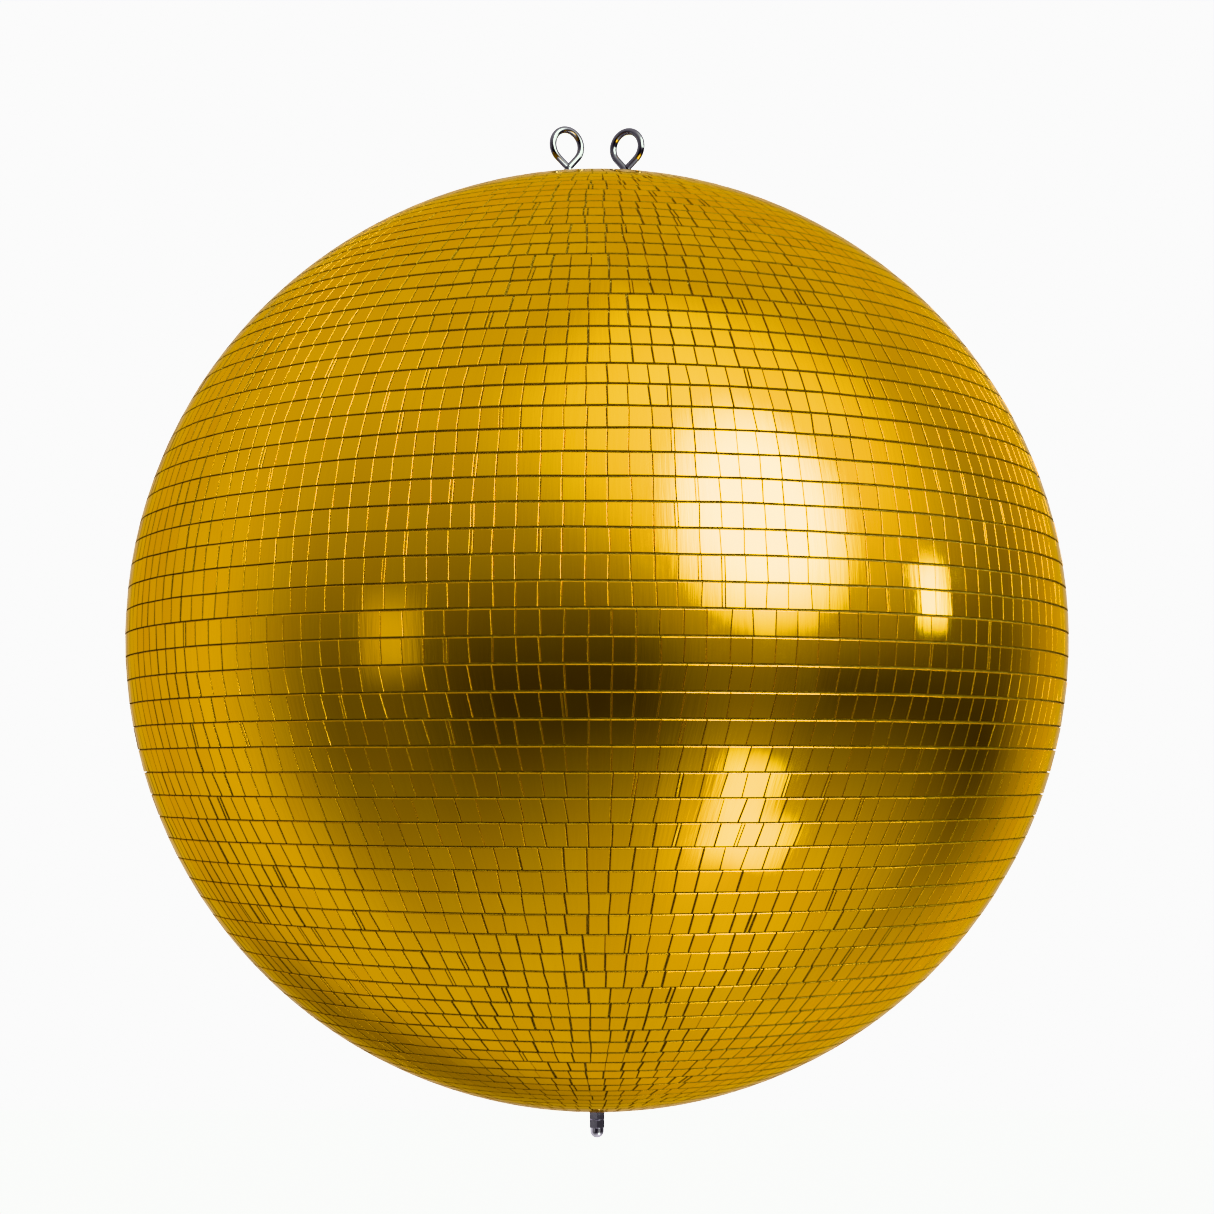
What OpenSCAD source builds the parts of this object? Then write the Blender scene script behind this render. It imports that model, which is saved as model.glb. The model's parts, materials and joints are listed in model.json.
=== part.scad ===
// Mirror ball with a gold mirror skin on a hollow moulded core.
// The ball's centre is the origin and +Z is the vertical axis it hangs and turns on.
// Glass tiles lie in level courses. Each course is modelled as one flat-sided ring of glass, a cone
// that touches the ball's outside at its two edges, and a band is a few courses on one cloth backing.
// A tie rod on the axis clamps the two core halves between plates, and two eye bolts carry the ball.

/* [Ball] */
// Diameter over the mirror tiles
ball_d = 500; // [440:10:560]
// Wall of the moulded core
shell_wall = 3; // [2.5:0.5:5]
// Thickness of the cloth and adhesive that the tiles are bedded in
bedding_t = 0.55; // [0.4:0.05:0.8]
// Height of the joining ring inside the core's seam
joining_ring_h = 30; // [20:2:50]
// Wall of the joining ring
joining_ring_wall = 2.5; // [2:0.5:4]

/* [Mirror courses] */
// Thickness of the mirror glass
tile_t = 1.5; // [1:0.1:2]
// Width of the joint between two courses
joint_w = 0.6; // [0.3:0.1:0.9]
// Course height at the equator on the upper half, joint included
upper_pitch = 11.6; // [10.5:0.1:12.5]
// How fast the upper courses get lower towards the top, as a power of the cosine of latitude
upper_fall = 0.8; // [0:0.1:1]
// Course height at the equator on the lower half, joint included
lower_pitch = 12; // [10.5:0.1:12.5]
// How fast the lower courses get lower towards the bottom
lower_fall = 0.4; // [0:0.1:1]
// Lowest course height anywhere
least_pitch = 8.5; // [7:0.1:9.5]

/* [Poles] */
// Radius of the flat boss at the top of the core
top_boss_r = 31; // [28:0.5:34]
// Radius of the flat boss at the bottom of the core
bottom_boss_r = 13; // [13:0.5:16]
// Thickness of the moulded bosses
boss_t = 10; // [8:0.5:14]
// Thickness of the steel plates at the top
plate_t = 2; // [1.5:0.1:2.5]
// Thickness of the broad washer at the bottom
broad_washer_t = 1.2; // [1:0.1:1.5]

/* [Fasteners] */
// Thread crest diameter of the rod and the eye bolts
thread_d = 4.9; // [4.8:0.05:4.9]
// Distance between thread crests
thread_pitch = 0.8; // [0.7:0.1:1]
// Distance across the flats of the nuts
nut_af = 8; // [8:0.5:9]
// Height of a plain nut
nut_h = 4; // [3.5:0.1:4.5]
// Height of the cap nut with its dome
cap_nut_h = 10; // [9:0.5:12]
// Diameter of a plain washer
washer_d = 10; // [9:0.5:11]
// Thickness of a plain washer
washer_t = 1; // [0.8:0.1:1.2]

/* [Eye bolts] */
// Distance of each eye bolt from the ball's axis
eye_offset = 15.6; // [14:0.1:18]
// Diameter of the wire in the loop
eye_wire_d = 4; // [3.5:0.1:4.5]
// Radius of the loop to the middle of the wire
eye_loop_r = 8.9; // [8:0.1:10]
// Height of the loop's middle above the ball's centre, less the ball's radius
eye_loop_rise = 20.8; // [20:0.1:22]
// Distance of the loop's middle from the bolt's own axis
eye_loop_lean = 1; // [0:0.1:1.5]
// How much lower the right eye is screwed in
right_eye_drop = 1; // [0:0.1:1.5]
// Turn of the left eye about its own axis
left_eye_turn = 32; // [0:1:90]
// Turn of the right eye about its own axis
right_eye_turn = 148; // [90:1:180]
// Axial play of each eye bolt in its plates
eye_play = 0.15; // [0.1:0.01:0.3]

/* [Hidden] */

$fn = 96;
round_fn = 48;
upper_bands = 13;
lower_bands = 12;

ball_r = ball_d / 2;
layer_gap = 0.1;
clearance = 0.1;
thread_r = thread_d / 2;
thread_depth = 0.4;
swivel_bore_r = thread_r + clearance;
loose_bore_r = thread_r + 0.3;
nut_bore_r = thread_r + 0.05;

// Radii of the layers, from the glass inwards
steepest_pitch = max(upper_pitch, lower_pitch) / ball_r * 180 / PI;
bedding_r = ball_r * cos(steepest_pitch / 2) - tile_t - layer_gap;
shell_r = bedding_r - bedding_t - layer_gap;
shell_inner_r = shell_r - shell_wall;
joining_ring_r = shell_inner_r - layer_gap;

// Heights of the stacks on the axis, from the boss seats outwards
top_seat_z = sqrt(ball_r * ball_r - top_boss_r * top_boss_r);
bottom_seat_z = sqrt(ball_r * ball_r - bottom_boss_r * bottom_boss_r);
inner_top_seat_z = top_seat_z - boss_t;
inner_bottom_seat_z = bottom_seat_z - boss_t;
top_plate_z = top_seat_z + plate_t;
inner_top_plate_z = inner_top_seat_z - plate_t;
inner_bottom_plate_z = inner_bottom_seat_z - plate_t;
bottom_washer_z = bottom_seat_z + broad_washer_t;
bottom_nut_z = bottom_washer_z + washer_t;
cap_nut_z = bottom_nut_z + nut_h;
spring_washer_t = 1.2;
rod_nut_z = top_plate_z + washer_t + spring_washer_t;
rod_top_z = rod_nut_z + nut_h + 1;
rod_bottom_z = cap_nut_z + cap_nut_h * 0.55;
top_plate_r = top_boss_r - 1;
inner_plate_r = 26;
broad_washer_r = bottom_boss_r - 1;

// Heights on the eye bolts, for an eye that is screwed fully out
eye_loop_z = ball_r + eye_loop_rise;
eye_throat_z = eye_loop_z - 12.1;
eye_washer_z = top_plate_z + eye_play;
eye_nut_z = eye_washer_z + washer_t;
eye_low_washer_z = inner_top_plate_z - eye_play - washer_t;
eye_low_nut_z = eye_low_washer_z - nut_h;
eye_jam_nut_z = eye_low_nut_z - nut_h;
eye_end_z = eye_jam_nut_z - 2.5;

// Latitudes of the course joints, from the equator to the boss at the pole
function course_angle(lat, pitch, fall) =
    max(pitch * pow(cos(lat), fall), least_pitch) / ball_r * 180 / PI;
function raw_joints(pitch, fall) =
    [for (lat = 0; lat < 90; lat = lat + course_angle(lat, pitch, fall)) lat];
function count_below(joints, limit) =
    len([for (lat = joints) if (lat <= limit) lat]);
function fitted_joints(joints, limit, count) =
    [for (i = [0 : count]) joints[i] * limit / joints[count]];
function half_joints(pitch, fall, limit) =
    let (joints = raw_joints(pitch, fall), count = count_below(joints, limit) - 1)
    fitted_joints(joints, limit, count);

pole_gap = 0.6;
upper_limit = acos((top_boss_r + pole_gap) / ball_r);
lower_limit = acos((bottom_boss_r + pole_gap) / ball_r);
upper_joints = half_joints(upper_pitch, upper_fall, upper_limit);
lower_joints = half_joints(lower_pitch, lower_fall, lower_limit);

mirror_color = "#d39a0a";
bedding_color = "#8a6410";
core_color = "#3a3a3c";
chrome_color = "#d9dcdf";
steel_color = "#b4b8bc";
alloy_color = "#c8cacc";

// One course: flat glass in section, its two outer edges on the ball's outside
module course(low, high) {
    half_joint = joint_w / 2 / ball_r * 180 / PI;
    a = low + half_joint;
    b = high - half_joint;
    mid = (a + b) / 2;
    inward = tile_t * [cos(mid), sin(mid)];
    outer_low = ball_r * [cos(a), sin(a)];
    outer_high = ball_r * [cos(b), sin(b)];
    rotate_extrude()
        polygon([outer_low, outer_high, outer_high - inward, outer_low - inward]);
}

// One band: its share of the courses of a half, counted from the equator
module mirror_band(joints, bands, number) {
    courses = len(joints) - 1;
    first = floor((number - 1) * courses / bands);
    last = floor(number * courses / bands) - 1;
    color(mirror_color)
        for (i = [first : last])
            course(joints[i], joints[i + 1]);
}

module upper_mirror_band(number) {
    mirror_band(upper_joints, upper_bands, number);
}

module lower_mirror_band(number) {
    mirror([0, 0, 1])
        mirror_band(lower_joints, lower_bands, number);
}

module ball_skin(outer_r, inner_r) {
    difference() {
        sphere(r = outer_r);
        sphere(r = inner_r);
    }
}

module upper_space() {
    translate([-ball_d, -ball_d, 0])
        cube([2 * ball_d, 2 * ball_d, ball_d]);
}

// Half of the core, opening downwards, with a flat boss at its pole
module core_half(boss_r, inner_boss_r, seat_z) {
    core_outer_flat_z = sqrt(shell_r * shell_r - inner_boss_r * inner_boss_r) - 0.5;
    intersection() {
        ball_skin(shell_r, shell_inner_r);
        upper_space();
    }
    translate([0, 0, seat_z - boss_t])
        cylinder(r = boss_r, h = boss_t);
    translate([0, 0, seat_z - boss_t])
        cylinder(r = inner_boss_r, h = core_outer_flat_z - seat_z + boss_t);
}

module eye_positions() {
    for (side = [-1, 1])
        translate([side * eye_offset, 0, 0])
            children();
}

module upper_core_shell() {
    color(core_color)
        difference() {
            core_half(top_boss_r, top_boss_r, top_seat_z);
            cylinder(r = loose_bore_r, h = ball_d, $fn = round_fn);
            eye_positions()
                cylinder(r = loose_bore_r, h = ball_d, $fn = round_fn);
        }
}

module lower_core_shell() {
    color(core_color)
        mirror([0, 0, 1])
            difference() {
                core_half(bottom_boss_r, inner_plate_r + 1, bottom_seat_z);
                cylinder(r = loose_bore_r, h = ball_d, $fn = round_fn);
            }
}

// Band bonded inside the seam of the two core halves
module core_joining_ring() {
    color(core_color)
        intersection() {
            ball_skin(joining_ring_r, joining_ring_r - joining_ring_wall);
            cylinder(r = ball_d, h = joining_ring_h, center = true);
        }
}

// Cloth and adhesive under the tiles of one half, open round the boss
module bedding(boss_r) {
    color(bedding_color)
        difference() {
            intersection() {
                ball_skin(bedding_r, bedding_r - bedding_t);
                upper_space();
            }
            cylinder(r = boss_r + layer_gap, h = ball_d);
        }
}

module upper_bedding() {
    bedding(top_boss_r);
}

module lower_bedding() {
    mirror([0, 0, 1])
        bedding(bottom_boss_r);
}

// Disc with a bevelled upper rim and a hole for the rod
module disc(r, h, bore_r) {
    bevel = h / 4;
    rotate_extrude()
        polygon([[bore_r, 0], [r, 0], [r, h - bevel], [r - bevel, h], [bore_r, h]]);
}

module eye_plate(r, z) {
    color(steel_color)
        translate([0, 0, z])
            difference() {
                disc(r, plate_t, loose_bore_r);
                translate([0, 0, -plate_t])
                    eye_positions()
                        cylinder(r = swivel_bore_r, h = 3 * plate_t, $fn = round_fn);
            }
}

module top_plate() {
    eye_plate(top_plate_r, top_seat_z);
}

module inner_top_plate() {
    eye_plate(inner_plate_r, inner_top_plate_z);
}

module inner_bottom_plate() {
    color(steel_color)
        translate([0, 0, -inner_bottom_seat_z])
            disc(inner_plate_r, plate_t, loose_bore_r);
}

module bottom_broad_washer() {
    color(steel_color)
        translate([0, 0, -bottom_seat_z])
            mirror([0, 0, 1])
                disc(broad_washer_r, broad_washer_t, loose_bore_r);
}

// Round bar whose surface rises to a crest and falls to a root once in each pitch
module threaded_bar(low, high) {
    turns = floor((high - low) / thread_pitch);
    root_r = thread_r - thread_depth;
    crests = [for (i = [0 : turns - 1]) [thread_r, low + (i + 0.5) * thread_pitch]];
    roots = [for (i = [1 : turns]) [root_r, low + i * thread_pitch]];
    flank = [for (i = [0 : 2 * turns - 1]) i % 2 == 0 ? crests[i / 2] : roots[(i - 1) / 2]];
    rotate_extrude($fn = round_fn)
        polygon(concat([[0, low], [root_r, low]], flank, [[0, low + turns * thread_pitch]]));
}

// Tie rod: plain in the middle, threaded for 24 mm at each end
module centre_rod() {
    thread_l = 24;
    root_r = thread_r - thread_depth;
    color(steel_color) {
        threaded_bar(rod_top_z - thread_l, rod_top_z);
        threaded_bar(-rod_bottom_z, -rod_bottom_z + thread_l);
        translate([0, 0, -rod_bottom_z + thread_l - 1])
            cylinder(r = root_r, h = rod_top_z + rod_bottom_z - 2 * thread_l + 2, $fn = round_fn);
    }
}

module centre_spacer_tube() {
    color(alloy_color)
        translate([0, 0, -inner_bottom_plate_z])
            difference() {
                cylinder(r = 5, h = inner_bottom_plate_z + inner_top_plate_z, $fn = round_fn);
                translate([0, 0, -1])
                    cylinder(r = loose_bore_r, h = ball_d, $fn = round_fn);
            }
}

module washer() {
    difference() {
        cylinder(d = washer_d, h = washer_t, $fn = round_fn);
        translate([0, 0, -1])
            cylinder(r = nut_bore_r + 0.1, h = washer_t + 2, $fn = round_fn);
    }
}

// Hexagon bar section with its corners turned off at the chosen ends
module hexagon(h, low_chamfer, high_chamfer) {
    corner_r = nut_af / sqrt(3);
    flat_r = nut_af / 2 * 0.97;
    cut = (corner_r - flat_r) / sqrt(3);
    low = low_chamfer ? flat_r : corner_r;
    high = high_chamfer ? flat_r : corner_r;
    intersection() {
        rotate([0, 0, 30])
            cylinder(r = corner_r, h = h, $fn = 6);
        rotate_extrude()
            polygon([[0, 0], [low, 0], [corner_r, cut], [corner_r, h - cut], [high, h], [0, h]]);
    }
}

// Plain nut with a countersunk bore
module nut() {
    sink_r = nut_bore_r + 0.35;
    sink = sink_r - nut_bore_r;
    difference() {
        hexagon(nut_h, true, true);
        rotate_extrude($fn = round_fn)
            polygon([
                [0, -1], [sink_r, -1], [sink_r, 0], [nut_bore_r, sink],
                [nut_bore_r, nut_h - sink], [sink_r, nut_h], [sink_r, nut_h + 1], [0, nut_h + 1]
            ]);
    }
}

// Hexagon with a domed end and a blind bore, standing on its open face
module cap_nut() {
    dome_r = nut_af * 0.46;
    hexagon_h = cap_nut_h * 0.45;
    bore_depth = cap_nut_h * 0.65;
    difference() {
        union() {
            hexagon(hexagon_h, true, true);
            translate([0, 0, hexagon_h - 1])
                cylinder(r = dome_r, h = cap_nut_h - hexagon_h + 1 - dome_r);
            translate([0, 0, cap_nut_h - dome_r])
                sphere(r = dome_r);
        }
        translate([0, 0, -1])
            cylinder(r = nut_bore_r, h = bore_depth + 1, $fn = round_fn);
    }
}

module rod_top_washer() {
    color(steel_color)
        translate([0, 0, top_plate_z])
            washer();
}

// Split ring
module rod_top_spring_washer() {
    split_w = 0.8;
    color(steel_color)
        translate([0, 0, top_plate_z + washer_t])
            difference() {
                cylinder(d = washer_d - 1, h = spring_washer_t, $fn = round_fn);
                translate([0, 0, -1])
                    cylinder(r = nut_bore_r + 0.1, h = spring_washer_t + 2, $fn = round_fn);
                translate([0, -split_w / 2, -1])
                    cube([washer_d, split_w, spring_washer_t + 2]);
            }
}

module rod_top_nut() {
    color(steel_color)
        translate([0, 0, rod_nut_z])
            nut();
}

module bottom_washer() {
    color(steel_color)
        translate([0, 0, -bottom_nut_z])
            washer();
}

module bottom_nut() {
    color(chrome_color)
        translate([0, 0, -cap_nut_z])
            nut();
}

module bottom_cap_nut() {
    color(chrome_color)
        translate([0, 0, -cap_nut_z])
            mirror([0, 0, 1])
                cap_nut();
}

// Bent wire eye on a threaded shank. The wire leaves the neck as one straight leg, goes round the
// loop and comes back as the other leg, whose cut end closes on the neck. The legs are a hair thinner
// than the loop and reach a little way into it.
module eye_bolt(drop) {
    loop_z = eye_loop_z - drop;
    throat_z = eye_throat_z - drop;
    rise = loop_z - throat_z;
    reach = sqrt(rise * rise + eye_loop_lean * eye_loop_lean);
    lean = -atan(eye_loop_lean / rise);
    spread = asin(eye_loop_r / reach);
    leg_d = eye_wire_d - 0.06;
    leg_l = reach * cos(spread) + 0.4;
    cut_end = eye_wire_d / 2 / sin(2 * spread) - 0.1;
    color(chrome_color) {
        translate([-eye_loop_lean, 0, loop_z])
            rotate([90, 0, 0])
                rotate([0, 0, -(lean + spread)])
                    rotate_extrude(angle = 180 + 2 * spread)
                        translate([eye_loop_r, 0])
                            circle(d = eye_wire_d, $fn = round_fn);
        translate([0, 0, throat_z])
            rotate([0, lean + spread, 0])
                cylinder(d = leg_d, h = leg_l, $fn = round_fn);
        translate([0, 0, throat_z])
            rotate([0, lean - spread, 0])
                translate([0, 0, cut_end])
                    cylinder(d = leg_d, h = leg_l - cut_end, $fn = round_fn);
        eye_shank(throat_z);
    }
}

// Threaded shank with a plain neck that narrows to the throat of the eye
module eye_shank(throat_z) {
    thread_end_z = throat_z - 2;
    neck_z = throat_z - 0.4;
    neck_top_z = throat_z + 1.9;
    threaded_bar(eye_end_z, thread_end_z);
    rotate_extrude($fn = round_fn)
        polygon([
            [0, thread_end_z - 1], [thread_r - thread_depth, thread_end_z - 1],
            [thread_r, thread_end_z], [thread_r, neck_z], [1.2, neck_top_z], [0, neck_top_z]
        ]);
}

module eye_nuts() {
    color(steel_color)
        for (z = [eye_nut_z, eye_low_nut_z, eye_jam_nut_z])
            translate([0, 0, z])
                nut();
}

module eye_washers() {
    color(steel_color)
        for (z = [eye_washer_z, eye_low_washer_z])
            translate([0, 0, z])
                washer();
}

module at_left_eye() {
    translate([-eye_offset, 0, 0])
        rotate([0, 0, left_eye_turn])
            children();
}

module at_right_eye() {
    translate([eye_offset, 0, 0])
        rotate([0, 0, right_eye_turn])
            children();
}

module left_eye_bolt() {
    at_left_eye()
        eye_bolt(0);
}

module left_eye_nuts() {
    at_left_eye()
        eye_nuts();
}

module left_eye_washers() {
    at_left_eye()
        eye_washers();
}

module right_eye_bolt() {
    at_right_eye()
        eye_bolt(right_eye_drop);
}

module right_eye_nuts() {
    at_right_eye()
        eye_nuts();
}

module right_eye_washers() {
    at_right_eye()
        eye_washers();
}

upper_core_shell();
lower_core_shell();
core_joining_ring();
upper_bedding();
lower_bedding();
upper_mirror_band(1);  // upper_mirror_band_01
upper_mirror_band(2);  // upper_mirror_band_02
upper_mirror_band(3);  // upper_mirror_band_03
upper_mirror_band(4);  // upper_mirror_band_04
upper_mirror_band(5);  // upper_mirror_band_05
upper_mirror_band(6);  // upper_mirror_band_06
upper_mirror_band(7);  // upper_mirror_band_07
upper_mirror_band(8);  // upper_mirror_band_08
upper_mirror_band(9);  // upper_mirror_band_09
upper_mirror_band(10);  // upper_mirror_band_10
upper_mirror_band(11);  // upper_mirror_band_11
upper_mirror_band(12);  // upper_mirror_band_12
upper_mirror_band(13);  // upper_mirror_band_13
lower_mirror_band(1);  // lower_mirror_band_01
lower_mirror_band(2);  // lower_mirror_band_02
lower_mirror_band(3);  // lower_mirror_band_03
lower_mirror_band(4);  // lower_mirror_band_04
lower_mirror_band(5);  // lower_mirror_band_05
lower_mirror_band(6);  // lower_mirror_band_06
lower_mirror_band(7);  // lower_mirror_band_07
lower_mirror_band(8);  // lower_mirror_band_08
lower_mirror_band(9);  // lower_mirror_band_09
lower_mirror_band(10);  // lower_mirror_band_10
lower_mirror_band(11);  // lower_mirror_band_11
lower_mirror_band(12);  // lower_mirror_band_12
top_plate();
inner_top_plate();
inner_bottom_plate();
bottom_broad_washer();
centre_rod();
centre_spacer_tube();
rod_top_washer();
rod_top_spring_washer();
rod_top_nut();
bottom_washer();
bottom_nut();
bottom_cap_nut();
left_eye_bolt();
left_eye_nuts();
left_eye_washers();
right_eye_bolt();
right_eye_nuts();
right_eye_washers();
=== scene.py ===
"""Looks of the gold mirror ball: separate bevelled mirror tiles, fittings and a plain studio."""
import json
import math
import random

import bpy
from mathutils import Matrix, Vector


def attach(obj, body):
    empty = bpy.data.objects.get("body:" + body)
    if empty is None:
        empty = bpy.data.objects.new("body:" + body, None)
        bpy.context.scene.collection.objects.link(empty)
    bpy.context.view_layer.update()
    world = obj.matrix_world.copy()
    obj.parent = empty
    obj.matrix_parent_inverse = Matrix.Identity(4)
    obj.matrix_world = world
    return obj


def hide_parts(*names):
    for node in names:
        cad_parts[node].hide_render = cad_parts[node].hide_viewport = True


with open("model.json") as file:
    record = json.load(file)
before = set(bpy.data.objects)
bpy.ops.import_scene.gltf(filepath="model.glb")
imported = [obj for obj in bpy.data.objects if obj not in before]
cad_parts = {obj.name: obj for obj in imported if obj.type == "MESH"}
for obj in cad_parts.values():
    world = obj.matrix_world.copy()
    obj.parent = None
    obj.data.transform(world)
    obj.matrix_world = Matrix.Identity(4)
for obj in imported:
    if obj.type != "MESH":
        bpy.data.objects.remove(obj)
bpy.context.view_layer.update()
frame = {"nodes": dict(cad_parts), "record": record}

MM = 0.001
NEAR = 0.01 * MM                # two heights or radii this close are the same
BANDS = [name for name in frame["nodes"] if "mirror_band" in name]
UPPER_BANDS = sorted(name for name in BANDS if name.startswith("upper"))
LOWER_BANDS = sorted(name for name in BANDS if name.startswith("lower"))
BALL_R = max(v.co.length for v in frame["nodes"][UPPER_BANDS[0]].data.vertices)

# Mirror tiles
TILE_T = 1.5 * MM               # glass thickness
TILE_W_UPPER = 10.1 * MM        # width of an upper tile at the equator, joint and all
TILE_W_LOWER = 10.45 * MM       # and of a lower one
TILE_W_FALL = 0.3               # how fast the tiles narrow towards a pole
WIDTH_DRIFT = 0.07              # a course keeps the last course's count while its tiles are this near
FEWEST_TILES = 6
PHASE_SPREAD = 0.15             # how far a course with a new count is turned, as a share of a tile
TILE_SHIFT = 0.3 * MM           # how far a joint strays along its course
TILT = math.radians(0.4)        # how far a tile is turned out of true
CROWN = 0.6                     # 0: a tile shades flat, 1: as round as the ball
FILLER_SHARE = 0.045            # joints that hold a narrow filler tile
FILLER_W = 1.2 * MM             # glass width of a filler tile
MAP_SPREAD = 40                 # how far apart the tiles lie on the map that their streaks follow

# Joints between the tiles
JOINT_W = 0.26 * MM             # upright joint at the equator
JOINT_W_POLE = 0.8 * MM         # and towards the poles
JOINT_LEFT = 0.8 * MM           # how much wider an upright joint is on the far left
JOINT_SPREAD = 0.3              # share of the joint's width
LEAST_JOINT = 0.12 * MM
INSET_UPPER = 0.22 * MM         # how far the tiles stand back from a course line
INSET_LOWER = 0.13 * MM
INSET_FOOT = 0.42 * MM          # the same towards the lower pole
INSET_LEFT = 0.0                # and on the left, where the courses lie closer
WAVE_UPPER = 0.28 * MM          # how far an upper course line wanders up and down
WAVE_LOWER = 0.12 * MM
WAVE_COUNTS = (3, 7, 16, 29)    # waves round the ball

# Rounded edges of a tile, seen from the front
BEVEL_TOP = 0.3 * MM
BEVEL_TOP_LOWER = 0.42 * MM     # the upper edge of the lower half's tiles
BEVEL_SIDE = 0.21 * MM
BEVEL_LOW = 0.04 * MM
BEVEL_POLE = 0.06 * MM          # top and side edges near the poles
BEVEL_D = 0.11 * MM             # depth
SQUARE_CUT = (80, 80)           # an edge's turn from the face in degrees, at the face and at the wall
ROUNDED = (14, 70)
ROUNDED_TOP = (10, 58)
EDGE_TURNS = [[math.radians(turn) for turn in turns] for turns in (SQUARE_CUT, ROUNDED, ROUNDED_TOP, ROUNDED)]

# Lean of the upright joints: degrees of lean, and the latitudes where it sets in and is full
LEAN_UPPER = [(5, 18, 26)]
LEAN_LOWER = [(11, 2, 9), (-5, 22, 30)]
LEAN_FRONT = 0.12               # how slowly the lean changes sides across the front
LEAN_SPREAD = math.radians(1.6)

# Where a change begins and where it is full, in degrees of latitude
JOINTS_WIDEN = (8, 48)
TOP_EDGES_NARROW = (40, 58)
SIDE_EDGES_NARROW = (30, 52)
COURSES_PART = (38, 58)         # in the lower half
COURSES_CLOSE_UP = (44, 24)     # on the left
# and on the ball's left, as shares of the way out from the axis
LEFT = (0.25, 0.6)
FAR_LEFT = (0.6, 0.8)

# A tile piece's materials
GLASS, EDGE, WALL = range(3)

# Camera, from the ball's centre
VIEW_DISTANCE = 5 * BALL_R
VIEW_ELEVATION = math.radians(-3.3)
LENS_MM = 68.6
SHIFT_X = 0.0082
SHIFT_Y = 0.0275

FLOOR_Z = -1.4
FLOOR_SIZE = 16.0
BACKDROP_LEVEL = 2.2
FLOOR_LEVEL = 2.1


# ---------------------------------------------------------------- node helpers

def add(tree, kind, **settings):
    """A new node with its settings."""
    made = tree.nodes.new(kind)
    for name, value in settings.items():
        setattr(made, name, value)
    return made


def feed(tree, socket, value):
    """Links or sets one input socket."""
    if isinstance(value, bpy.types.NodeSocket):
        tree.links.new(value, socket)
    else:
        socket.default_value = value


def calc(tree, operation, *values):
    """A math node's result."""
    made = add(tree, "ShaderNodeMath", operation=operation)
    for socket, value in zip(made.inputs, values):
        feed(tree, socket, value)
    return made.outputs[0]


def ramp(tree, value, start, end, low=0.0, high=1.0, smooth=True):
    """value taken from start..end to low..high."""
    kind = "SMOOTHSTEP" if smooth else "LINEAR"
    made = add(tree, "ShaderNodeMapRange", interpolation_type=kind)
    for socket, number in zip(made.inputs, (value, start, end, low, high)):
        feed(tree, socket, number)
    return made.outputs[0]


def blend(tree, share, first, second):
    """Mix of two colours."""
    made = add(tree, "ShaderNodeMix", data_type="RGBA")
    feed(tree, made.inputs["Factor"], share)
    feed(tree, made.inputs["A"], first)
    feed(tree, made.inputs["B"], second)
    return made.outputs["Result"]


def noise(tree, place, scale, detail=2.0, roughness=0.5):
    """Noise value at a place."""
    made = add(tree, "ShaderNodeTexNoise")
    feed(tree, made.inputs["Vector"], place)
    made.inputs["Scale"].default_value = scale
    made.inputs["Detail"].default_value = detail
    made.inputs["Roughness"].default_value = roughness
    return made.outputs["Fac"]


def stretched(tree, place, scale):
    """A place scaled by three factors."""
    made = add(tree, "ShaderNodeVectorMath", operation="MULTIPLY")
    feed(tree, made.inputs[0], place)
    made.inputs[1].default_value = scale
    return made.outputs[0]


def new_material(name):
    """An empty node material: its tree, its shader and the object coordinates."""
    material = bpy.data.materials.new(name)
    material.use_nodes = True
    tree = material.node_tree
    tree.nodes.clear()
    shader = add(tree, "ShaderNodeBsdfPrincipled")
    out = add(tree, "ShaderNodeOutputMaterial")
    tree.links.new(shader.outputs[0], out.inputs["Surface"])
    place = add(tree, "ShaderNodeTexCoord").outputs["Object"]
    return material, tree, shader, place


def bump(tree, shader, height, distance, strength=1.0):
    """Bump of a height in metres."""
    made = add(tree, "ShaderNodeBump")
    made.inputs["Strength"].default_value = strength
    made.inputs["Distance"].default_value = distance
    feed(tree, made.inputs["Height"], height)
    tree.links.new(made.outputs[0], shader.inputs["Normal"])


# ---------------------------------------------------------------- materials

def gold_mirror():
    """Gold back-silvered glass: each tile with its own tone, drawn-glass streaks and a thin film of dust."""
    material, tree, shader, place = new_material("gold_mirror")
    tone = add(tree, "ShaderNodeAttribute", attribute_name="tile_tone").outputs["Fac"]
    face = add(tree, "ShaderNodeUVMap", uv_map="tile").outputs["UV"]
    streak = noise(tree, stretched(tree, face, (5.0, 0.35, 1.0)), 1.0, 3.0, 0.6)
    dust = noise(tree, place, 70.0, 5.0, 0.6)
    gold = blend(tree, tone, (0.93, 0.465, 0.0, 1), (1.0, 0.53, 0.003, 1))
    gold = blend(tree, ramp(tree, streak, 0.35, 0.75, 0.0, 0.16), gold, (0.84, 0.42, 0.0, 1))
    feed(tree, shader.inputs["Base Color"], gold)
    feed(tree, shader.inputs["Roughness"], ramp(tree, dust, 0.3, 0.75, 0.035, 0.11))
    shader.inputs["Metallic"].default_value = 1.0
    shader.inputs["Specular Tint"].default_value = (1.0, 0.74, 0.03, 1)
    bump(tree, shader, streak, 0.04 * MM, 0.8)
    return material


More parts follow.
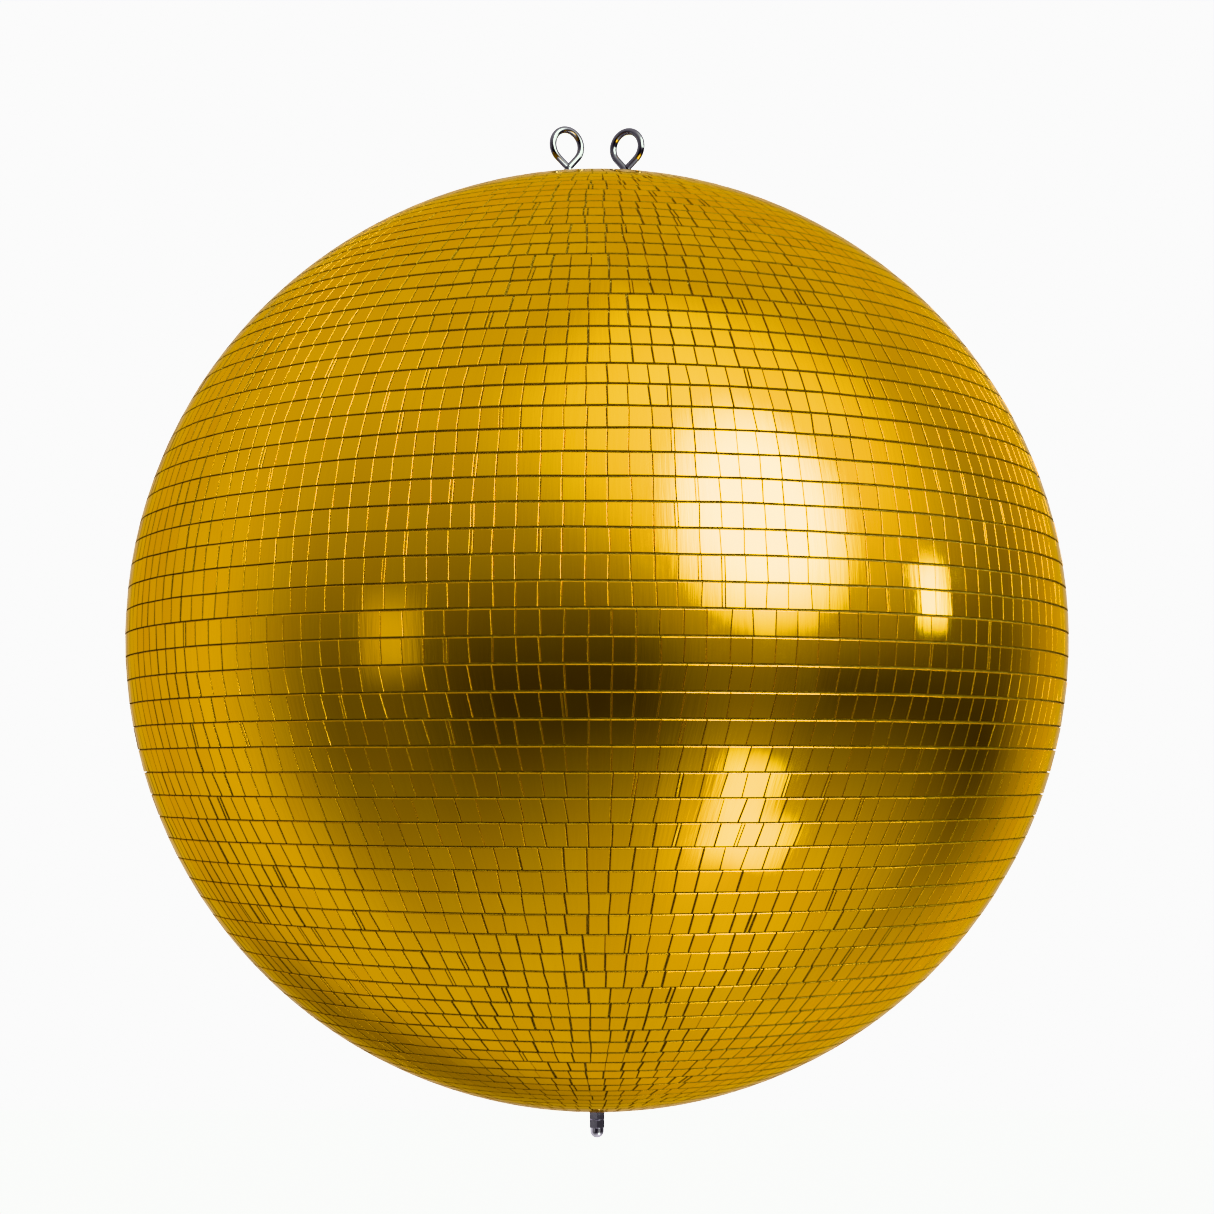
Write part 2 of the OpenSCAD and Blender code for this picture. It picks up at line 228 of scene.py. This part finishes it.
def cut_edge():
    """Rounded edge of a glass tile: the gold shows through it, lightly chipped and soiled."""
    material, tree, shader, place = new_material("cut_glass_edge")
    chips = noise(tree, place, 900.0, 3.0, 0.7)
    soil = noise(tree, place, 45.0, 3.0, 0.5)
    colour = blend(tree, ramp(tree, chips, 0.35, 0.7), (1.0, 0.46, 0.04, 1), (0.75, 0.33, 0.02, 1))
    colour = blend(tree, ramp(tree, soil, 0.45, 0.75, 0.0, 0.5), colour, (0.35, 0.19, 0.01, 1))
    feed(tree, shader.inputs["Base Color"], colour)
    feed(tree, shader.inputs["Roughness"], ramp(tree, chips, 0.3, 0.7, 0.12, 0.3))
    shader.inputs["Metallic"].default_value = 0.9
    shader.inputs["Specular Tint"].default_value = (1.0, 0.7, 0.05, 1)
    bump(tree, shader, chips, 0.05 * MM, 0.6)
    return material


def tile_wall():
    """Side of a tile down in the joint: sawn glass stained by the adhesive."""
    material, tree, shader, place = new_material("tile_wall")
    saw = noise(tree, stretched(tree, place, (300.0, 300.0, 1500.0)), 1.0, 3.0, 0.6)
    colour = blend(tree, ramp(tree, saw, 0.3, 0.7), (0.24, 0.13, 0.01, 1), (0.4, 0.23, 0.02, 1))
    feed(tree, shader.inputs["Base Color"], colour)
    feed(tree, shader.inputs["Roughness"], ramp(tree, saw, 0.3, 0.7, 0.4, 0.7))
    bump(tree, shader, saw, 0.05 * MM, 0.6)
    return material


def bedding():
    """Adhesive on cloth at the bottom of the joints."""
    material, tree, shader, place = new_material("bedding_adhesive")
    lumps = noise(tree, place, 400.0, 4.0, 0.6)
    weave = add(tree, "ShaderNodeTexWave", wave_type="BANDS", bands_direction="Z")
    feed(tree, weave.inputs["Vector"], place)
    weave.inputs["Scale"].default_value = 700.0
    weave.inputs["Distortion"].default_value = 2.0
    height = calc(tree, "ADD", calc(tree, "MULTIPLY", weave.outputs["Fac"], 0.4), lumps)
    colour = blend(tree, ramp(tree, lumps, 0.35, 0.7), (0.38, 0.23, 0.03, 1), (0.6, 0.37, 0.06, 1))
    feed(tree, shader.inputs["Base Color"], colour)
    feed(tree, shader.inputs["Roughness"], ramp(tree, lumps, 0.3, 0.7, 0.5, 0.8))
    bump(tree, shader, height, 0.1 * MM, 0.7)
    return material


CHROME_TINT = (1.0, 0.94, 1.08)
HAZE_TINT = (0.78, 0.735, 0.85)


def chrome(name, level, smoothest, roughest):
    """Chrome with a little haze and hairline scratches."""
    material, tree, shader, place = new_material(name)
    haze = noise(tree, place, 160.0, 4.0, 0.6)
    hairline = noise(tree, stretched(tree, place, (2600.0, 2600.0, 240.0)), 1.0, 3.0, 0.7)
    bright = [level * share for share in CHROME_TINT] + [1]
    dull = [level * share for share in HAZE_TINT] + [1]
    colour = blend(tree, haze, dull, bright)
    feed(tree, shader.inputs["Base Color"], colour)
    feed(tree, shader.inputs["Roughness"], ramp(tree, haze, 0.35, 0.8, smoothest, roughest))
    shader.inputs["Metallic"].default_value = 1.0
    bump(tree, shader, hairline, 0.012 * MM, 0.5)
    return material


def zinc():
    """Bright zinc plate, lightly scuffed, with a faint warm cast in patches."""
    material, tree, shader, place = new_material("zinc_steel")
    patch = noise(tree, place, 90.0, 4.0, 0.6)
    scuff = noise(tree, stretched(tree, place, (900.0, 900.0, 300.0)), 1.0, 4.0, 0.7)
    colour = blend(tree, patch, (0.48, 0.46, 0.51, 1), (0.66, 0.62, 0.65, 1))
    feed(tree, shader.inputs["Base Color"], colour)
    feed(tree, shader.inputs["Roughness"], ramp(tree, scuff, 0.3, 0.75, 0.2, 0.45))
    shader.inputs["Metallic"].default_value = 1.0
    bump(tree, shader, scuff, 0.03 * MM, 0.6)
    return material


def alloy():
    """Drawn aluminium tube with fine lengthwise draw lines."""
    material, tree, shader, place = new_material("alloy_tube")
    lines = noise(tree, stretched(tree, place, (3000.0, 3000.0, 60.0)), 1.0, 3.0, 0.6)
    colour = blend(tree, lines, (0.6, 0.61, 0.63, 1), (0.78, 0.785, 0.79, 1))
    feed(tree, shader.inputs["Base Color"], colour)
    feed(tree, shader.inputs["Roughness"], ramp(tree, lines, 0.3, 0.7, 0.28, 0.45))
    shader.inputs["Metallic"].default_value = 1.0
    bump(tree, shader, lines, 0.02 * MM, 0.6)
    return material


def core_plastic():
    """Moulded black core with a fine spark-eroded grain."""
    material, tree, shader, place = new_material("core_plastic")
    grain = noise(tree, place, 1400.0, 3.0, 0.6)
    cloud = noise(tree, place, 18.0, 3.0, 0.5)
    colour = blend(tree, cloud, (0.018, 0.018, 0.02, 1), (0.04, 0.04, 0.043, 1))
    feed(tree, shader.inputs["Base Color"], colour)
    feed(tree, shader.inputs["Roughness"], ramp(tree, grain, 0.3, 0.7, 0.45, 0.62))
    bump(tree, shader, grain, 0.06 * MM, 0.6)
    return material


# ---------------------------------------------------------------- mirror tiles

def on_ball(lon, lat, radius):
    """A point at a longitude, from the front to the right, and a latitude."""
    ring = radius * math.cos(lat)
    return Vector((ring * math.sin(lon), -ring * math.cos(lon), radius * math.sin(lat)))


def courses_of(node):
    """The latitudes of each course's lower and upper edge, read from a band's CAD ring corners."""
    corners = [v.co.z for v in frame["nodes"][node].data.vertices if v.co.length > BALL_R - NEAR]
    levels = []
    for z in sorted(corners):
        if not levels or z - levels[-1] > NEAR:
            levels.append(z)
    lats = [math.asin(z / BALL_R) for z in levels]
    return list(zip(lats[0::2], lats[1::2]))


def step(value, start, full):
    """0 before start and 1 past full, smoothly."""
    share = min(1.0, max(0.0, (value - start) / (full - start)))
    return share * share * (3 - 2 * share)


def left_side(lon, start, full):
    """1 on the ball's left and 0 elsewhere."""
    return step(-math.sin(lon), start, full)


def lean_at(lon, lat):
    """How far an upright joint leans off its meridian, the one way in the upper half, the other below."""
    degrees = math.degrees(lat)
    stages, way = (LEAN_UPPER, -1) if degrees >= 0 else (LEAN_LOWER, 1)
    amount = sum(lean * step(abs(degrees), start, full) for lean, start, full in stages)
    side = math.tanh(math.sin(lon) / LEAN_FRONT)
    return math.radians(amount) * side * way


def wander(rng, height):
    """A course line's slow rise and fall round the ball, as a function of longitude."""
    waves = [(count, rng.uniform(0, math.tau), rng.uniform(0.3, 1.0)) for count in WAVE_COUNTS]
    total = sum(part for _, _, part in waves)

    def rise(lon):
        level = sum(part * math.sin(count * lon + phase) for count, phase, part in waves)
        return height / BALL_R * level / total
    return rise


def flat_rise(lon):
    """A course line that doesn't wander."""
    return 0.0


def tilted_normal(corners, rng):
    """A tile's outward direction, a little out of true."""
    across = ((corners[1] - corners[0]) + (corners[2] - corners[3])).normalized()
    normal = across.cross((corners[3] - corners[0]) + (corners[2] - corners[1])).normalized()
    up = normal.cross(across)
    return (normal + across * rng.gauss(0, TILT) + up * rng.gauss(0, TILT)).normalized()


def flattened(corners, centre, normal):
    """A tile's corners in one plane, with none of them proud of the ball."""
    plane = [p - normal * (p - centre).dot(normal) for p in corners]
    proud = max(p.length for p in plane) - BALL_R
    return [p - normal * proud for p in plane]


def bevels_at(centre):
    """How wide a tile's lower, right, upper and left edges are rounded."""
    degrees = abs(math.degrees(math.asin(centre.z / centre.length)))
    wide_top = BEVEL_TOP if centre.z > 0 else BEVEL_TOP_LOWER
    top = wide_top + (BEVEL_POLE - wide_top) * step(degrees, *TOP_EDGES_NARROW)
    far_left = left_side(math.atan2(centre.x, -centre.y), *FAR_LEFT)
    narrow = max(step(degrees, *SIDE_EDGES_NARROW), far_left)
    side = BEVEL_SIDE + (BEVEL_POLE - BEVEL_SIDE) * narrow
    return BEVEL_LOW, side, top, side


def drawn_in(plane, bevels):
    """The flat face inside a tile's rounded edges."""
    face = []
    for i, p in enumerate(plane):
        along = (plane[(i + 1) % 4] - p).normalized()
        back = (plane[i - 1] - p).normalized()
        face.append(p + along * bevels[i - 1] + back * bevels[i])
    return face


class TileSheet:
    """Collects tiles as separate bevelled islands of one mesh."""

    def __init__(self):
        self.verts = []
        self.faces = []
        self.finishes = []
        self.normals = []
        self.tones = []
        self.maps = []

    def add_face(self, corners, normals, tone, finish, face_map):
        """One face of a tile, with a normal and a map place for each corner."""
        self.faces.append(corners)
        self.normals += normals
        self.tones.append(tone)
        self.finishes.append(finish)
        self.maps += face_map

    def add_tile(self, corners, rng):
        """One tile. corners run lower left, lower right, upper right, upper left, on the ball."""
        centre = sum(corners, Vector()) / 4
        normal = tilted_normal(corners, rng)
        plane = flattened(corners, centre, normal)
        face = drawn_in(plane, bevels_at(centre))
        rim = [p - normal * BEVEL_D for p in plane]
        foot = [p - normal * TILE_T for p in plane]
        first = len(self.verts)
        self.verts += face + rim + foot
        tone = rng.random()
        at = rng.uniform(0, MAP_SPREAD)
        square = [(at, at), (at + 1, at), (at + 1, at + 1), (at, at + 1)]
        crowned = [normal.lerp(p.normalized(), CROWN).normalized() for p in face]
        self.add_face([first, first + 1, first + 2, first + 3], crowned, tone, GLASS, square)
        for i in range(4):
            j = (i + 1) % 4
            outward = (plane[j] - plane[i]).cross(normal).normalized()
            near, far = [normal * math.cos(turn) + outward * math.sin(turn) for turn in EDGE_TURNS[i]]
            bevel = [first + i, first + 4 + i, first + 4 + j, first + j]
            self.add_face(bevel, [near, far, far, near], tone, EDGE if i else WALL, square)
            wall = [first + 4 + i, first + 8 + i, first + 8 + j, first + 4 + j]
            self.add_face(wall, [outward] * 4, tone, WALL, square)
        self.add_face([first + 11, first + 10, first + 9, first + 8], [-normal] * 4, tone, WALL, square)

    def to_object(self, name, materials):
        """The mesh object."""
        mesh = bpy.data.meshes.new(name)
        mesh.from_pydata(self.verts, [], self.faces)
        for material in materials:
            mesh.materials.append(material)
        mesh.polygons.foreach_set("material_index", self.finishes)
        mesh.polygons.foreach_set("use_smooth", [True] * len(self.faces))
        tones = mesh.attributes.new("tile_tone", "FLOAT", "FACE")
        tones.data.foreach_set("value", self.tones)
        uv = mesh.uv_layers.new(name="tile")
        uv.data.foreach_set("uv", [number for pair in self.maps for number in pair])
        mesh.normals_split_custom_set(self.normals)
        made = bpy.data.objects.new(name, mesh)
        bpy.context.scene.collection.objects.link(made)
        return made


def joints_round(count, lat, phase, rng):
    """Each upright joint of a course: its middle's longitude and its half width, as angles."""
    ring = BALL_R * math.cos(lat)
    usual = JOINT_W + (JOINT_W_POLE - JOINT_W) * step(abs(math.degrees(lat)), *JOINTS_WIDEN)
    joints = []
    for i in range(count):
        lon = phase + math.tau * i / count + rng.gauss(0, TILE_SHIFT) / ring
        wide = usual + JOINT_LEFT * left_side(lon, *FAR_LEFT)
        half = max(LEAST_JOINT, wide * rng.gauss(1, JOINT_SPREAD)) / 2 / ring
        filler = rng.random() < FILLER_SHARE
        joints.append((lon, half, filler))
    return joints


def corner_lons(lon, half, lat_low, lat_high, lean):
    """The longitudes of one side of a joint, at the course's lower and upper edge."""
    rise = (lat_high - lat_low) / 2
    swing = rise * math.tan(lean) / math.cos((lat_low + lat_high) / 2)
    return lon - swing + half, lon + swing + half


def lay_course(sheet, low, high, low_rise, high_rise, count, phase, rng):
    """All the tiles of one course."""
    mid = (low + high) / 2
    edges = []
    for lon, half, filler in joints_round(count, mid, phase, rng):
        lean = lean_at(lon, mid) + rng.gauss(0, LEAN_SPREAD)
        offset = FILLER_W / BALL_R / math.cos(mid) / 2 + half
        for at in (lon - offset, lon + offset) if filler else (lon,):
            edges.append([corner_lons(at, side, low, high, lean) for side in (-half, half)])
    inset = INSET_UPPER if mid > 0 else INSET_LOWER
    inset += (INSET_FOOT - inset) * step(-math.degrees(mid), *COURSES_PART)
    closer = (INSET_LEFT - inset) * step(abs(math.degrees(mid)), *COURSES_CLOSE_UP)
    for i, (_, start) in enumerate(edges):
        end = edges[(i + 1) % len(edges)][0]
        turn = math.tau if i == len(edges) - 1 else 0
        lons = (start[0], end[0] + turn, end[1] + turn, start[1])
        insets = [(inset + closer * left_side(lon, *LEFT)) / BALL_R for lon in lons]
        sheet.add_tile([
            on_ball(lons[0], low + insets[0] + low_rise(lons[0]), BALL_R),
            on_ball(lons[1], low + insets[1] + low_rise(lons[1]), BALL_R),
            on_ball(lons[2], high - insets[2] + high_rise(lons[2]), BALL_R),
            on_ball(lons[3], high - insets[3] + high_rise(lons[3]), BALL_R),
        ], rng)


def tile_count(lat, last):
    """Tiles in a course: the last course's count while it still suits, so that joints line up."""
    width = (TILE_W_UPPER if lat > 0 else TILE_W_LOWER) * math.cos(lat) ** TILE_W_FALL
    girth = math.tau * BALL_R * math.cos(lat)
    if last and abs(girth / last / width - 1) < WIDTH_DRIFT:
        return last
    return max(FEWEST_TILES, round(girth / width))


def lay_half(nodes, wave, seed, materials):
    """The tiled bands from the equator to a pole, each standing for its CAD rings."""
    rng = random.Random(seed)
    upper = nodes is UPPER_BANDS
    count = 0
    phase = 0.0
    near_rise = flat_rise
    for node in nodes:
        sheet = TileSheet()
        courses = courses_of(node)
        for low, high in courses if upper else reversed(courses):
            fresh = tile_count((low + high) / 2, count)
            if fresh != count:
                phase = rng.uniform(-PHASE_SPREAD, PHASE_SPREAD) * math.tau / fresh + math.pi / fresh
            count = fresh
            far_rise = wander(rng, wave)
            low_rise, high_rise = (near_rise, far_rise) if upper else (far_rise, near_rise)
            near_rise = far_rise
            lay_course(sheet, low, high, low_rise, high_rise, count, phase, rng)
        piece = sheet.to_object(node.replace("band", "tiles"), materials)
        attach(piece, "ball")
        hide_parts(node)


def mirror_tiles():
    """Every mirror tile of the ball."""
    materials = [gold_mirror(), cut_edge(), tile_wall()]
    lay_half(UPPER_BANDS, WAVE_UPPER, seed=11, materials=materials)
    lay_half(LOWER_BANDS, WAVE_LOWER, seed=23, materials=materials)


# ---------------------------------------------------------------- fittings

def dress_fittings():
    """Gives each CAD node that stays its own finish, by the record's slots."""
    finishes = {
        "bedding": bedding(),
        "core_plastic": core_plastic(),
        # Painted shade: the eye bolts' chrome has a low level (0.31), darker than the same chrome on the
        # nuts, which darkens all its reflections.
        "chromed_steel": chrome("chromed_steel", level=0.31, smoothest=0.03, roughest=0.1),
        "zinc_steel": zinc(),
        "alloy_tube": alloy(),
    }
    # Painted light: the nuts get a brighter copy of the same chrome (level 0.95), which brightens all their
    # reflections.
    nuts = chrome("chromed_nuts_painted_lighter", level=0.95, smoothest=0.08, roughest=0.2)
    for part in frame["record"]["subparts"]:
        finish = finishes.get(part["material_slot"])
        if part["node"] in ("bottom_nut", "bottom_cap_nut"):
            finish = nuts
        if finish is None:
            continue
        mesh = frame["nodes"][part["node"]].data
        mesh.materials.clear()
        mesh.materials.append(finish)


# ---------------------------------------------------------------- studio

# Soft boxes: azimuth from the front to the right, elevation, half width, half height, all in degrees,
# edge (share of the size), corner (2 is an ellipse, more is squarer) and level.
WHITE_BOXES = {
    "key_halo": (48, 25, 35, 19, 2.0, 2, 0.8),
    "key_column": (34, 18, 16, 32, 2.0, 2, 0.26),
    "left_card": (-48, -1.3, 6, 7, 1.3, 5, 0.44),
    "left_wall": (-77, -10, 40, 38, 0.8, 2, 0.09),
    "low_glow": (66, -49, 50, 21, 2.0, 2, 0.39),
    "low_halo": (37, -41, 14, 14, 2.0, 2, 0.42),
    "back_shade": (-160, -34, 20, 14.5, 1.6, 2, -0.36),
}
WARM_BOXES = {
    "key": (40, 25.6, 18.5, 19.5, 0.9, 2.1, 12.0),
    "key_spill": (33, 51, 38, 21, 2.0, 2, 0.94),
    "strip": (83.9, 7.9, 3.9, 4.7, 1.0, 4, 9.0),
    "low_card": (46.5, -45, 12.5, 5.5, 1.0, 4, 2.9),
    "low_card_top": (40.5, -34.2, 7.5, 5.8, 1.1, 4, 3.0),
    "back_key": (180, 3.3, 10.5, 10.5, 0.6, 2.4, 6.0),
}
WARM_TINT = (1.0, 1.23, 0.92, 1.0)
ROOM_LEVEL = 0.61
DARK_LEVEL = 0.036
# The unlit part of the room: where each side of it begins and where it is full, in degrees
DARK_LEFT = (-105, -62)
DARK_RIGHT = (149, 106)
DARK_ABOVE = (56, -15)
DARK_BELOW = (-86, -17)


def soft_box(tree, azimuth, elevation, place):
    """How much of a soft box a direction sees."""
    az, el, half_w, half_h, edge, corner, level = place
    across = calc(tree, "WRAP", calc(tree, "SUBTRACT", azimuth, az), 180.0, -180.0)
    upright = calc(tree, "SUBTRACT", elevation, el)
    total = 0.0
    for offset, half in ((across, half_w), (upright, half_h)):
        share = calc(tree, "DIVIDE", calc(tree, "ABSOLUTE", offset), half)
        total = calc(tree, "ADD", calc(tree, "POWER", share, corner), total)
    reach = calc(tree, "POWER", total, 1 / corner)
    return calc(tree, "MULTIPLY", ramp(tree, reach, 1 + edge / 2, 1 - edge / 2), level)


def dark_side(tree, azimuth, elevation):
    """The unlit part of the room in front of the ball, behind the camera."""
    left = ramp(tree, azimuth, *DARK_LEFT)
    right = ramp(tree, azimuth, *DARK_RIGHT)
    above = ramp(tree, elevation, *DARK_ABOVE)
    below = ramp(tree, elevation, *DARK_BELOW)
    return calc(tree, "MULTIPLY", calc(tree, "MULTIPLY", left, right), calc(tree, "MULTIPLY", above, below))


def light(tree, level, colour=(1.0, 1.0, 1.0, 1.0)):
    """A background shader of one colour."""
    made = add(tree, "ShaderNodeBackground")
    made.inputs["Color"].default_value = colour
    feed(tree, made.inputs["Strength"], level)
    return made.outputs[0]


def make_studio():
    """The room as the tiles see it; the camera itself sees a plain white backdrop."""
    world = bpy.data.worlds.new("studio")
    world.use_nodes = True
    tree = world.node_tree
    tree.nodes.clear()
    way = add(tree, "ShaderNodeSeparateXYZ")
    tree.links.new(add(tree, "ShaderNodeTexCoord").outputs["Generated"], way.inputs[0])
    x, y, z = way.outputs
    azimuth = calc(tree, "DEGREES", calc(tree, "ARCTAN2", x, calc(tree, "MULTIPLY", y, -1.0)))
    elevation = calc(tree, "DEGREES", calc(tree, "ARCSINE", z))
    room = ramp(tree, dark_side(tree, azimuth, elevation), 0, 1, ROOM_LEVEL, DARK_LEVEL, smooth=False)
    for place in WHITE_BOXES.values():
        room = calc(tree, "ADD", room, soft_box(tree, azimuth, elevation, place))
    warm = 0.0
    for place in WARM_BOXES.values():
        warm = calc(tree, "ADD", soft_box(tree, azimuth, elevation, place), warm)
    both = add(tree, "ShaderNodeAddShader")
    tree.links.new(light(tree, room), both.inputs[0])
    tree.links.new(light(tree, warm, WARM_TINT), both.inputs[1])
    seen = add(tree, "ShaderNodeMixShader")
    tree.links.new(add(tree, "ShaderNodeLightPath").outputs["Is Camera Ray"], seen.inputs[0])
    tree.links.new(both.outputs[0], seen.inputs[1])
    tree.links.new(light(tree, BACKDROP_LEVEL), seen.inputs[2])
    out = add(tree, "ShaderNodeOutputWorld")
    tree.links.new(seen.outputs[0], out.inputs["Surface"])
    bpy.context.scene.world = world


def make_floor():
    """A plain pale floor, well below the hanging ball."""
    half = FLOOR_SIZE / 2
    mesh = bpy.data.meshes.new("floor")
    corners = [(-half, -half, FLOOR_Z), (half, -half, FLOOR_Z), (half, half, FLOOR_Z), (-half, half, FLOOR_Z)]
    mesh.from_pydata(corners, [], [(0, 1, 2, 3)])
    floor = bpy.data.objects.new("floor", mesh)
    bpy.context.scene.collection.objects.link(floor)
    material, tree, shader, place = new_material("pale_floor")
    tone = blend(tree, noise(tree, place, 0.8), (0.18, 0.18, 0.18, 1), (0.2, 0.2, 0.2, 1))
    feed(tree, shader.inputs["Base Color"], tone)
    shader.inputs["Roughness"].default_value = 0.9
    shader.inputs["Emission Color"].default_value = (1, 1, 1, 1)
    shader.inputs["Emission Strength"].default_value = FLOOR_LEVEL
    mesh.materials.append(material)
    floor.visible_glossy = False
    floor.visible_diffuse = False


def make_camera():
    """The camera at the photograph's angle, a little below the ball's middle."""
    camera = bpy.data.objects.new("camera", bpy.data.cameras.new("camera"))
    back = Vector((0, -math.cos(VIEW_ELEVATION), math.sin(VIEW_ELEVATION)))
    camera.location = back * VIEW_DISTANCE
    camera.rotation_mode = "QUATERNION"
    camera.rotation_quaternion = (-back).to_track_quat("-Z", "Y")
    camera.data.sensor_width = 36
    camera.data.lens = LENS_MM
    camera.data.shift_x = SHIFT_X
    camera.data.shift_y = SHIFT_Y
    camera.data.clip_start = 0.01
    camera.data.clip_end = 60
    bpy.context.scene.collection.objects.link(camera)
    bpy.context.scene.camera = camera
    bpy.context.scene.view_settings.view_transform = "Khronos PBR Neutral"


make_camera()
make_studio()
make_floor()
dress_fittings()
mirror_tiles()
